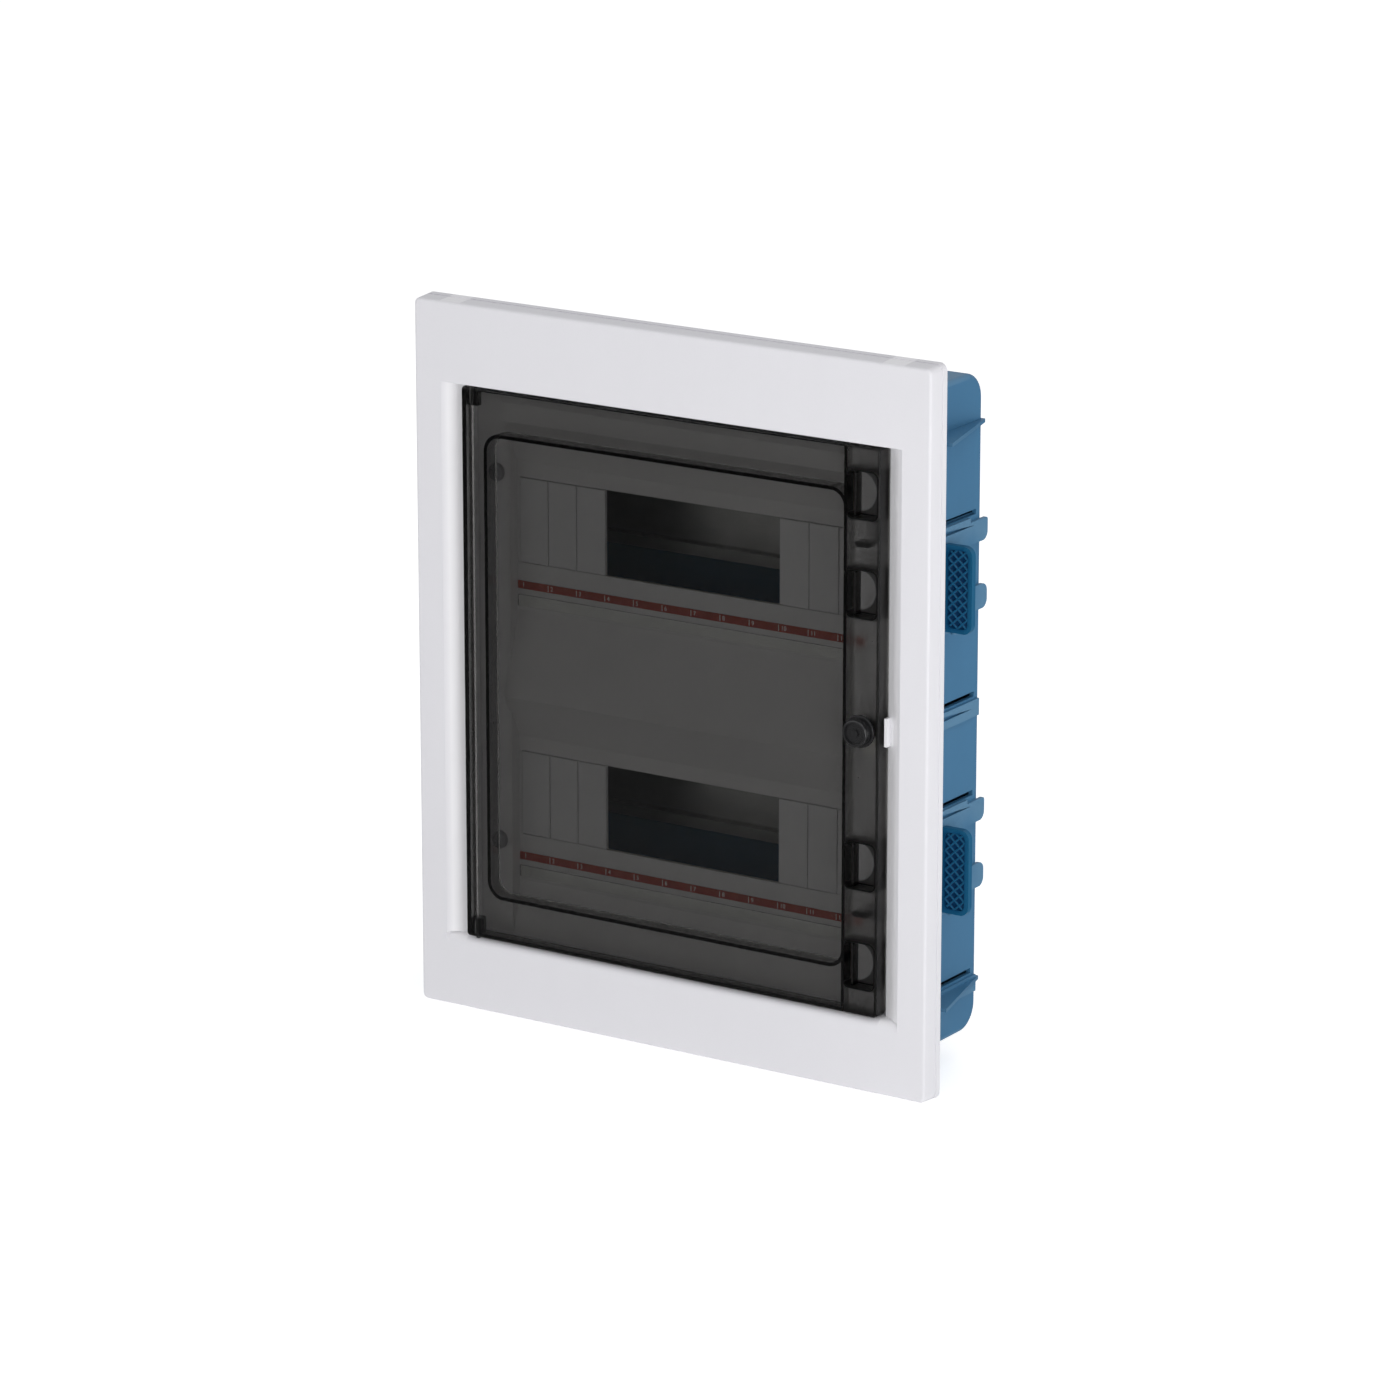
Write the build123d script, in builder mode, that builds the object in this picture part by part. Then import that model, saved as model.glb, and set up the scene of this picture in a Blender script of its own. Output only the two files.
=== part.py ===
"""Flush-mounted breaker panel box: two rows of twelve modules behind a smoked door.

Frame of reference, in millimetres: +X to the right, +Y into the wall, +Z up. The origin is
the centre of the trim frame on the plane of the finished wall, so the trim and the door
stand in front of it (negative Y) and the wall box is sunk behind it (positive Y).
"""

import os

from build123d import *

# ---------------------------------------------------------------- driving dimensions
# modular system
MODULE = 18.0                   # width of one module
ROW_MODULES = 12
BLANK_MODULES = 3               # closed modules at each end of a row
ROW_PITCH = 150.0               # between the centres of the two rows
CUTOUT_H = 46.0
ROWS = {"upper": ROW_PITCH / 2, "lower": -ROW_PITCH / 2}

# trim frame
FRAME_W = 316.0                 # at its front face
FRAME_H = 386.0
FRAME_T = 14.0                  # from the wall to its front face
FRAME_DRAFT = 1.0               # each side is this much wider at the wall
FRAME_SKIN = 3.0
OPENING_X = 129.9               # half width of the door opening
OPENING_TOP = 150.0
OPENING_BOTTOM = -153.0
COLLAR_T = 2.2                  # wall of the collar behind the opening
COLLAR_Y = 3.7                  # the collar ends here, in front of the cover
SCOOP_X = 141.5                 # half width over the finger scoops at the front
SCOOP_DEPTH = 8.0

# door
DOOR_X = 128.6                  # half width
DOOR_TOP = 149.3
DOOR_BOTTOM = -152.3
DOOR_SKIN = 2.4
DOOR_DEPTH = 9.0                # depth of the skirt around the door
SKIRT_T = 2.2
RIB_T = 2.0
RIB_DEPTH = 9.0
RIB_LEFT = -115.5
RIB_RIGHT = 108.5               # this side is also the stile's inner wall
RIB_TOP = 125.5
RIB_BOTTOM = -129.5
CUP_Z = (123.5, 72.0, -72.0, -125.5)
CUP_H = 27.5
CUP_X = (109.2, 127.0)          # inside of a cup, which is open to the front
CUP_WALL = 1.6
CUP_BAR = (112.0, 113.2)        # slim upright bar in each cup
SLOT_Z = (97.5, -98.5)          # short bars between the cups of each pair
PIVOT_X = -123.0
PIVOT_Y = -9.5
PIVOT_R = 2.0

# knob and latch
KNOB_X = 118.0
KNOB_R = 7.2
SPINDLE_R = 3.0
CAM_REACH = 14.8

# inner cover
FACE_Y = 11.0                   # row faces, where the modules come through
LIP_Y = 0.0                     # the lips between the rows stand forward to here
FLANGE_Y = 4.0
COVER_T = 2.2
TRAY_X = 111.8                  # half width of the stepped middle part
FLANGE_X = 136.0
COVER_H = 316.0
FACE_UP = 31.5                  # from a row's centre to the top of its face
FACE_DOWN = 49.0                # and to the bottom of its face
LIP_DOWN = 95.0                 # and to the lip below it
STRIP_Z = -35.4                 # number strip, from the row's centre
STRIP_H = 4.2
LABEL_Z = -44.0
LABEL_H = 6.4
COVER_SCREW = (118.0, 101.0)

# wall box
BOX_X = 141.0
BOX_Z = 176.0
BOX_FRONT = 1.0
BOX_REAR = 66.0
BOX_T = 2.4
POST_R = 6.0
ANCHOR_LUG = 3.0                # the anchor bases stand this far behind the box

# rails and terminal bars
RAIL_L = 232.0
RAIL_REAR = 61.4
RAIL_DEPTH = 7.5
RAIL_H = 35.0
RAIL_CROWN = 25.0
RAIL_T = 1.0
RAIL_SCREW_X = 100.0
BAR_Z = 146.0
BAR_L = 156.0

# anchors
PADDLE_TIP = 159.0              # free edge of a swung-out paddle, from the middle of the box
PADDLE_ROOT = 143.4             # its inner edge, which covers the hinge
PADDLE_FRONT = 26.5
PADDLE_T = 3.5
PADDLE_UP = 18.0                # paddle's upper edge, from the row's centre
PADDLE_DOWN = 28.0
HINGE_X = 145.5
HINGE_Y = 32.3
BARREL_R = 2.0
LUG_GAP = (-11.0, 12.0)         # gap between the lugs of an anchor base, along Z from the row
PLATE_REAR = 52.0               # rear end of an anchor base's plate
PIN_R = 0.9

CLEAR = 0.05                    # radial clearance of a pin or a spindle in its hole

os.makedirs("parts", exist_ok=True)


def facing(y):
    """Sketch plane parallel to the wall at depth y, with X to the right and Z up."""
    return Plane.XZ.offset(-y)


def box_between(x, y, z, mode=Mode.ADD):
    """A box given by its limits along each axis."""
    with Locations(((x[0] + x[1]) / 2, (y[0] + y[1]) / 2, (z[0] + z[1]) / 2)):
        Box(abs(x[1] - x[0]), abs(y[1] - y[0]), abs(z[1] - z[0]), mode=mode)


def rod(x, z, radius, y, mode=Mode.ADD):
    """A cylinder square to the wall between two depths."""
    with Locations((x, (y[0] + y[1]) / 2, z)):
        Cylinder(radius, y[1] - y[0], rotation=(90, 0, 0), mode=mode)


def upright(x, y, radius, z, mode=Mode.ADD):
    """A vertical cylinder between two heights."""
    with Locations((x, y, (z[0] + z[1]) / 2)):
        Cylinder(radius, z[1] - z[0], mode=mode)


def save(builder, name):
    """Label a finished piece and write it as its own STEP file."""
    builder.part.label = name
    export_step(builder.part, f"parts/{name}.step")


# ---------------------------------------------------------------- wall box
KNOCKOUT_X = (-96.0, -48.0, 0.0, 48.0, 96.0)
KNOCKOUT_Y = 36.0
WALL_HOLES = (100.0, 130.0)     # half spacings of the holes in the rear wall
BAR_LEG_X = (-70.0, 70.0)
SLIT_UP = 26.5                  # slit above each anchor, from the row's centre
SLIT_DOWN = -70.5               # and the one below it
SLIT_H = 2.8
FIN_Z = 149.5



def side_slab(side, outline, x):
    """A slab beside the box, with an outline of (depth, height) points."""
    with BuildPart() as slab:
        with BuildSketch(Plane.YZ.offset(side * x[0])):
            with BuildLine():
                Polyline(*outline, close=True)
            make_face()
        extrude(amount=side * (x[1] - x[0]))
    return slab.part


with BuildPart() as wall_box:
    with BuildSketch(facing(BOX_FRONT)):
        Rectangle(2 * BOX_X, 2 * BOX_Z)
    extrude(amount=-(BOX_REAR - BOX_FRONT))
    rear_edges = wall_box.edges().filter_by(Axis.X).group_by(Axis.Y)[-1]
    fillet(rear_edges, 14)
    fillet(wall_box.edges().filter_by(Axis.Z).group_by(Axis.Y)[-1], 3)
    with BuildSketch(facing(BOX_FRONT)):
        Rectangle(2 * (BOX_X - BOX_T), 2 * (BOX_Z - BOX_T))
    extrude(amount=-(BOX_REAR - BOX_FRONT - BOX_T - 12), mode=Mode.SUBTRACT)
    with BuildSketch(facing(BOX_FRONT)):
        Rectangle(2 * (BOX_X - BOX_T), 2 * (BOX_Z - BOX_T - 12))
    extrude(amount=-(BOX_REAR - BOX_FRONT - BOX_T), mode=Mode.SUBTRACT)

    # thin discs to knock out for conduits, top and bottom
    for z, outward in ((BOX_Z, 1), (-BOX_Z, -1)):
        with BuildSketch(Plane.XY.offset(z)):
            with Locations(*[(x, KNOCKOUT_Y) for x in KNOCKOUT_X]):
                Circle(12.5)
                Circle(11.7, mode=Mode.SUBTRACT)
                Circle(10.0)
                Circle(9.2, mode=Mode.SUBTRACT)
        extrude(amount=-outward * 1.2, mode=Mode.SUBTRACT)

    # posts that the quarter-turn screws lock into, tied to the side walls
    for side in (-1, 1):
        for end in (-1, 1):
            x, z = side * COVER_SCREW[0], end * COVER_SCREW[1]
            rod(x, z, POST_R, (6.8, BOX_REAR - 1))
            box_between((side * (COVER_SCREW[0] + POST_R - 1), side * (BOX_X - 1)),
                        (12, BOX_REAR - 1), (z - 1, z + 1))
            rod(x, z, 4.6, (9.8, 17.8), mode=Mode.SUBTRACT)
            rod(x, z, 2.8, (6.8, 9.8), mode=Mode.SUBTRACT)
            box_between((x - 4.3, x + 4.3), (6.8, 9.8), (z - 1.6, z + 1.6), mode=Mode.SUBTRACT)

    # bosses under the rails and under the terminal bars' legs
    for z in ROWS.values():
        for x in (-RAIL_SCREW_X, RAIL_SCREW_X):
            rod(x, z, 6, (RAIL_REAR, BOX_REAR - 1))
            rod(x, z, 1.8, (RAIL_REAR, BOX_REAR - 0.8), mode=Mode.SUBTRACT)
    for x in BAR_LEG_X:
        for z in (-BAR_Z, BAR_Z):
            rod(x, z, 6, (58, BOX_REAR - 1))
            rod(x, z, 1.6, (58, BOX_REAR - 0.8), mode=Mode.SUBTRACT)

    # holes for wall screws in the rear wall
    with BuildSketch(facing(BOX_REAR)):
        with GridLocations(2 * WALL_HOLES[0], 2 * WALL_HOLES[1], 2, 2):
            Circle(2.75)
    extrude(amount=BOX_T + 1, mode=Mode.SUBTRACT)

    # slits, stiffening pads with a tapered groove and fins on both sides
    for side in (-1, 1):
        outer = side * BOX_X
        inner = side * (BOX_X - BOX_T - 0.2)
        for z in ROWS.values():
            for dz in (SLIT_UP, SLIT_DOWN):
                box_between((inner, outer), (20, 60), (z + dz, z + dz + SLIT_H),
                            mode=Mode.SUBTRACT)
            pad_top = z + SLIT_DOWN - 1.2
            box_between((outer - side * 0.5, outer + side * 1.6), (12, 63),
                        (pad_top - 9, pad_top))
            groove = [(11, pad_top - 4.6), (56, pad_top - 4.4), (11, pad_top - 0.8)]
            add(side_slab(side, groove, (BOX_X, BOX_X + 2)), mode=Mode.SUBTRACT)
        for z in (-FIN_Z, FIN_Z):
            with BuildSketch(Plane.XY.offset(z - 1)):
                with BuildLine():
                    Polyline((outer - side * 0.5, 10), (outer + side * 15.5, 10),
                             (outer + side, BOX_REAR + 0.6), (outer - side * 2, BOX_REAR + 0.6),
                             (outer - side * 2, BOX_REAR - 6), (outer - side * 0.5, BOX_REAR - 6),
                             close=True)
                make_face()
            extrude(amount=2)
save(wall_box, "wall_box")

# ---------------------------------------------------------------- plaster anchors
# A base plate clips to the side wall at each row. A paddle is hinged to it. It stands out
# into the mortar, and folds back flat against the wall.


def anchor_base(side, row_z):
    """Base plate with two lugs behind the box, a tapered slot and the outer hinge knuckles."""
    inner, outer = side * (BOX_X + 0.02), side * (BOX_X + 1.9)
    top = row_z + SLIT_UP - 0.4
    with BuildPart() as base:
        box_between((inner, outer), (12, PLATE_REAR), (row_z - 30, top))
        for z in ((row_z + LUG_GAP[1], top - 2.4), (row_z - 24, row_z + LUG_GAP[0])):
            box_between((inner, outer), (50, BOX_REAR + ANCHOR_LUG), z)
        rear = base.edges().filter_by(Axis.X).group_by(Axis.Y)[-1]
        fillet(rear.sort_by(Axis.Z)[:3], 4.5)
        fillet(rear.sort_by(Axis.Z)[3:], 1.5)
        groove = [(11, top - 4.6), (56, top - 4.4), (11, top - 0.8)]
        add(side_slab(side, groove, (BOX_X, BOX_X + 2)), mode=Mode.SUBTRACT)
        for knuckle in ((6, 14), (-30, -22)):
            z = (row_z + knuckle[0], row_z + knuckle[1])
            upright(side * HINGE_X, HINGE_Y, BARREL_R, z)
            box_between((outer - side * 0.5, side * HINGE_X),
                        (HINGE_Y - 0.1, HINGE_Y + BARREL_R), z)
        upright(side * HINGE_X, HINGE_Y, PIN_R + CLEAR,
                (row_z - 31, row_z + 15), mode=Mode.SUBTRACT)
    return base


def anchor_paddle(side, row_z):
    """Paddle with a plain rim around its gripping field, and its barrel behind the root."""
    root, tip = side * PADDLE_ROOT, side * PADDLE_TIP
    rear = PADDLE_FRONT + PADDLE_T
    with BuildPart() as paddle:
        box_between((root, tip), (PADDLE_FRONT, rear),
                    (row_z - PADDLE_DOWN, row_z + PADDLE_UP))
        corners = paddle.edges().filter_by(Axis.Y).sort_by(lambda e: side * e.center().X)[-2:]
        fillet(corners, 5)
        box_between((side * (HINGE_X - BARREL_R), side * (HINGE_X + BARREL_R)),
                    (rear - 0.1, HINGE_Y), (row_z - 21.6, row_z + 5.6))
        upright(side * HINGE_X, HINGE_Y, BARREL_R, (row_z - 21.6, row_z + 5.6))
        upright(side * HINGE_X, HINGE_Y, PIN_R + CLEAR, (row_z - 22, row_z + 6),
                mode=Mode.SUBTRACT)
        with BuildSketch(facing(PADDLE_FRONT)):
            with Locations(((root + tip - side * 1.5) / 2,
                            row_z + (PADDLE_UP - PADDLE_DOWN) / 2)):
                RectangleRounded(PADDLE_TIP - PADDLE_ROOT - 3.5, PADDLE_UP + PADDLE_DOWN - 4.8, 3)
        extrude(amount=-0.8, mode=Mode.SUBTRACT)
    return paddle


for side_name, side in (("left", -1), ("right", 1)):
    for row_name, row_z in ROWS.items():
        save(anchor_base(side, row_z), f"anchor_base_{row_name}_{side_name}")
        save(anchor_paddle(side, row_z), f"anchor_paddle_{row_name}_{side_name}")

with BuildPart() as anchor_pins:
    for side in (-1, 1):
        for row_z in ROWS.values():
            upright(side * HINGE_X, HINGE_Y, PIN_R, (row_z - 29.8, row_z + 13.8))
save(anchor_pins, "anchor_pins")

# ---------------------------------------------------------------- module rails


def top_hat_rail(row_z):
    """Folded top-hat rail, 35 mm high, with two slots for its screws."""
    y_base = RAIL_REAR
    y_top = RAIL_REAR - RAIL_DEPTH
    with BuildPart() as rail:
        for sign in (-1, 1):
            crown = row_z + sign * RAIL_CROWN / 2
            box_between((-RAIL_L / 2, RAIL_L / 2), (y_top, y_top + RAIL_T),
                        (crown, row_z + sign * RAIL_H / 2))
            box_between((-RAIL_L / 2, RAIL_L / 2), (y_top, y_base),
                        (crown - sign * RAIL_T, crown))
        box_between((-RAIL_L / 2, RAIL_L / 2), (y_base - RAIL_T, y_base),
                    (row_z - RAIL_CROWN / 2, row_z + RAIL_CROWN / 2))
        with BuildSketch(facing(y_base)):
            with Locations((-RAIL_SCREW_X, row_z), (RAIL_SCREW_X, row_z)):
                SlotOverall(12, 5)
        extrude(amount=RAIL_T + 1, mode=Mode.SUBTRACT)
    return rail


for row_name, row_z in ROWS.items():
    save(top_hat_rail(row_z), f"module_rail_{row_name}")

with BuildPart() as rail_screws:
    for row_z in ROWS.values():
        for x in (-RAIL_SCREW_X, RAIL_SCREW_X):
            seat = RAIL_REAR - RAIL_T
            rod(x, row_z, 3.9, (seat - 2.4, seat))
            rod(x, row_z, 1.75, (seat - 0.2, BOX_REAR - 1))
            box_between((x - 3, x + 3), (seat - 2.4, seat - 1.4),
                        (row_z - 0.5, row_z + 0.5), mode=Mode.SUBTRACT)
            box_between((x - 0.5, x + 0.5), (seat - 2.4, seat - 1.4),
                        (row_z - 3, row_z + 3), mode=Mode.SUBTRACT)
save(rail_screws, "rail_screws")

# ---------------------------------------------------------------- terminal bars
BAR_SECTION = (7.0, 10.0)       # along Y, along Z
BAR_FRONT = 34.0
CLAMPS = 15
CLAMP_PITCH = 9.6


def clamp_positions():
    """X of each clamping point along a terminal bar."""
    return [(i - (CLAMPS - 1) / 2) * CLAMP_PITCH for i in range(CLAMPS)]


def terminal_carrier(z):
    """Plastic channel that holds a terminal bar on two legs above the rear wall."""
    half_z = BAR_SECTION[1] / 2
    back = BAR_FRONT + BAR_SECTION[0]
    with BuildPart() as carrier:
        box_between((-BAR_L / 2 - 4, BAR_L / 2 + 4), (BAR_FRONT + 1.5, back + 3),
                    (z - half_z - 2.2, z + half_z + 2.2))
        box_between((-BAR_L / 2 - 0.1, BAR_L / 2 + 0.1), (BAR_FRONT - 1, back + 0.1),
                    (z - half_z - 0.1, z + half_z + 0.1), mode=Mode.SUBTRACT)
        for x in clamp_positions():
            box_between((x - 2.6, x + 2.6), (BAR_FRONT + 1, back - 1.2),
                        (z - 9, z + 9), mode=Mode.SUBTRACT)
        for x in BAR_LEG_X:
            rod(x, z, 5, (back + 2.9, 57.9))
            rod(x, z, 1.55, (back + 8, 57.9), mode=Mode.SUBTRACT)
    return carrier


def terminal_bar(z):
    """Brass bar with a cross hole and a screw hole at every clamping point."""
    with BuildPart() as bar:
        box_between((-BAR_L / 2, BAR_L / 2), (BAR_FRONT, BAR_FRONT + BAR_SECTION[0]),
                    (z - BAR_SECTION[1] / 2, z + BAR_SECTION[1] / 2))
        chamfer(bar.edges().filter_by(Axis.X), 0.5)
        for x in clamp_positions():
            upright(x, BAR_FRONT + 4, 2.2, (z - 6, z + 6), mode=Mode.SUBTRACT)
            rod(x, z, 1.7, (BAR_FRONT - 1, BAR_FRONT + 4), mode=Mode.SUBTRACT)
    return bar


def clamp_screws(z):
    """Slotted clamp screws of one terminal bar."""
    with BuildPart() as screws:
        for x in clamp_positions():
            rod(x, z, 1.65, (BAR_FRONT + 0.1, BAR_FRONT + 2.2))
            rod(x, z, 2.6, (BAR_FRONT - 3.4, BAR_FRONT - 0.05))
            rod(x, z, 1.65, (BAR_FRONT - 0.2, BAR_FRONT + 0.2))
            box_between((x - 3, x + 3), (BAR_FRONT - 3.4, BAR_FRONT - 2.2),
                        (z - 0.45, z + 0.45), mode=Mode.SUBTRACT)
    return screws


for bar_name, z in (("neutral", BAR_Z), ("earth", -BAR_Z)):
    save(terminal_carrier(z), f"{bar_name}_carrier")
    save(terminal_bar(z), f"{bar_name}_bar")
    save(clamp_screws(z), f"{bar_name}_clamp_screws")

# ---------------------------------------------------------------- inner cover
HOOK_Z = (-60.0, 60.0)
CUTOUT_W = ROW_MODULES * MODULE + 0.6


def cover_profile(shift):
    """Stepped side profile as (depth, height) points, moved back by shift."""
    upper, lower = ROWS["upper"], ROWS["lower"]
    slope = (FACE_Y - LIP_Y) / (LIP_DOWN - FACE_DOWN)
    return [
        (FLANGE_Y + shift, COVER_H / 2),
        (FLANGE_Y + shift, OPENING_TOP - 1.5),
        (LIP_Y + shift, OPENING_TOP - 10),
        (LIP_Y + shift, upper + FACE_UP + 23.5),
        (FACE_Y + shift, upper + FACE_UP),
        (FACE_Y + shift, upper - FACE_DOWN),
        (LIP_Y + shift, upper - LIP_DOWN),
        (FACE_Y + shift, lower + FACE_UP),
        (FACE_Y + shift, lower - FACE_DOWN),
        (FLANGE_Y + shift, lower - FACE_DOWN - (FACE_Y - FLANGE_Y) / slope),
        (FLANGE_Y + shift, -COVER_H / 2),
    ]


with BuildPart() as inner_cover:
    # stepped middle part, a tray open to the rear
    tray_rear = FACE_Y + COVER_T + 1.6
    for half_width, shift, mode in ((TRAY_X, 0, Mode.ADD), (TRAY_X - 1.8, COVER_T, Mode.SUBTRACT)):
        end = tray_rear + (0 if mode == Mode.ADD else 5)
        trim = 0 if mode == Mode.ADD else 0.01
        outline = cover_profile(shift)
        with BuildSketch(Plane.YZ.offset(-half_width)):
            with BuildLine():
                Polyline(*outline, (end, outline[-1][1] - trim), (end, outline[0][1] + trim),
                         close=True)
            make_face()
        extrude(amount=2 * half_width, mode=mode)
    # flat flange on either side, and the step wall between it and the row faces
    for side in (-1, 1):
        box_between((side * (TRAY_X - 0.9), side * FLANGE_X), (FLANGE_Y, FLANGE_Y + COVER_T),
                    (-COVER_H / 2, COVER_H / 2))
        box_between((side * (TRAY_X - 1.8), side * TRAY_X), (FLANGE_Y, FACE_Y + 0.5),
                    (-COVER_H / 2, COVER_H / 2))
        for z in (-COVER_SCREW[1], COVER_SCREW[1]):
            rod(side * COVER_SCREW[0], z, 2.8, (FLANGE_Y - 1, FLANGE_Y + 4), mode=Mode.SUBTRACT)
        for z in HOOK_Z:
            box_between((side * 129.4, side * 133.4), (FLANGE_Y - 1, FLANGE_Y + 4),
                        (z - 6.6, z + 6.6), mode=Mode.SUBTRACT)
    # one module cut-out per row
    with BuildSketch(facing(FACE_Y)):
        with Locations(*[(0, z) for z in ROWS.values()]):
            Rectangle(CUTOUT_W, CUTOUT_H + 0.6)
    extrude(amount=-COVER_T, mode=Mode.SUBTRACT)
    # seats of the number strips and label holders
    for z in ROWS.values():
        for dz, height, depth in ((STRIP_Z, STRIP_H, 0.6), (LABEL_Z, LABEL_H, 1.0)):
            box_between((-TRAY_X + 1.8, TRAY_X - 1.8), (FACE_Y - 0.1, FACE_Y + depth),
                        (z + dz - height / 2 - 0.1, z + dz + height / 2 + 0.1),
                        mode=Mode.SUBTRACT)
save(inner_cover, "inner_cover")

# ---------------------------------------------------------------- blanking plates


def blanking_plate(side, row_z):
    """Three-module blanking plate with a groove between modules and clips behind."""
    width = BLANK_MODULES * MODULE
    centre = side * (ROW_MODULES * MODULE - width) / 2
    with BuildPart() as plate:
        box_between((centre - width / 2 + 0.1, centre + width / 2 - 0.1),
                    (FACE_Y - 0.5, FACE_Y + 1.6), (row_z - 22.9, row_z + 22.9))
        fillet(plate.faces().sort_by(Axis.Y)[0].edges(), 0.4)
        for i in range(1, BLANK_MODULES):
            x = centre - width / 2 + i * MODULE
            box_between((x - 0.4, x + 0.4), (FACE_Y - 0.6, FACE_Y + 0.5),
                        (row_z - 23, row_z + 23), mode=Mode.SUBTRACT)
        for sign in (-1, 1):
            box_between((centre - width / 2 + 6, centre + width / 2 - 6),
                        (FACE_Y + 1.5, FACE_Y + 6),
                        (row_z + sign * 20.4, row_z + sign * 22))
            box_between((centre - width / 2 + 6, centre + width / 2 - 6),
                        (FACE_Y + COVER_T + 0.15, FACE_Y + 4.4),
                        (row_z + sign * 21.8, row_z + sign * 24.1))
    return plate


for side_name, side in (("left", -1), ("right", 1)):
    for row_name, row_z in ROWS.items():
        save(blanking_plate(side, row_z), f"blanking_plate_{row_name}_{side_name}")

# ---------------------------------------------------------------- number strips and labels
STRIP_W = 2 * (TRAY_X - 1.8) - 0.4

for row_name, row_z in ROWS.items():
    with BuildPart() as number_strip:
        box_between((-STRIP_W / 2, STRIP_W / 2), (FACE_Y - 0.4, FACE_Y + 0.55),
                    (row_z + STRIP_Z - STRIP_H / 2, row_z + STRIP_Z + STRIP_H / 2))
    save(number_strip, f"number_strip_{row_name}")

    with BuildPart() as label_card:
        box_between((-STRIP_W / 2, STRIP_W / 2), (FACE_Y + 0.6, FACE_Y + 0.95),
                    (row_z + LABEL_Z - LABEL_H / 2 + 0.2, row_z + LABEL_Z + LABEL_H / 2 - 0.2))
    save(label_card, f"label_card_{row_name}")

    with BuildPart() as label_window:
        box_between((-STRIP_W / 2, STRIP_W / 2), (FACE_Y - 0.6, FACE_Y + 0.5),
                    (row_z + LABEL_Z - LABEL_H / 2, row_z + LABEL_Z + LABEL_H / 2))
        fillet(label_window.edges().filter_by(Axis.X).group_by(Axis.Y)[0], 0.5)
    save(label_window, f"label_window_{row_name}")

# ---------------------------------------------------------------- cover screws


def cover_screw(side, end):
    """Quarter-turn screw: slotted head, neck through the cover, T bar under the post's cap."""
    x, z = side * COVER_SCREW[0], end * COVER_SCREW[1]
    with BuildPart() as screw:
        rod(x, z, 5.0, (FLANGE_Y - 2.6, FLANGE_Y - 0.1))
        fillet(screw.edges().filter_by(GeomType.CIRCLE).sort_by(Axis.Y)[0], 0.8)
        rod(x, z, 2.5, (FLANGE_Y - 0.2, 14))
        box_between((x - 1.4, x + 1.4), (10.3, 12.8), (z - 4.0, z + 4.0))
        box_between((x - 0.8, x + 0.8), (FLANGE_Y - 2.7, FLANGE_Y - 1.0), (z - 4.2, z + 4.2),
                    mode=Mode.SUBTRACT)
    return screw


for side_name, side in (("left", -1), ("right", 1)):
    for end_name, end in (("upper", 1), ("lower", -1)):
        save(cover_screw(side, end), f"cover_screw_{end_name}_{side_name}")

# ---------------------------------------------------------------- trim frame
STRIKE_HALF = 7.5
PIVOT_BOSS = 8.0

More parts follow.
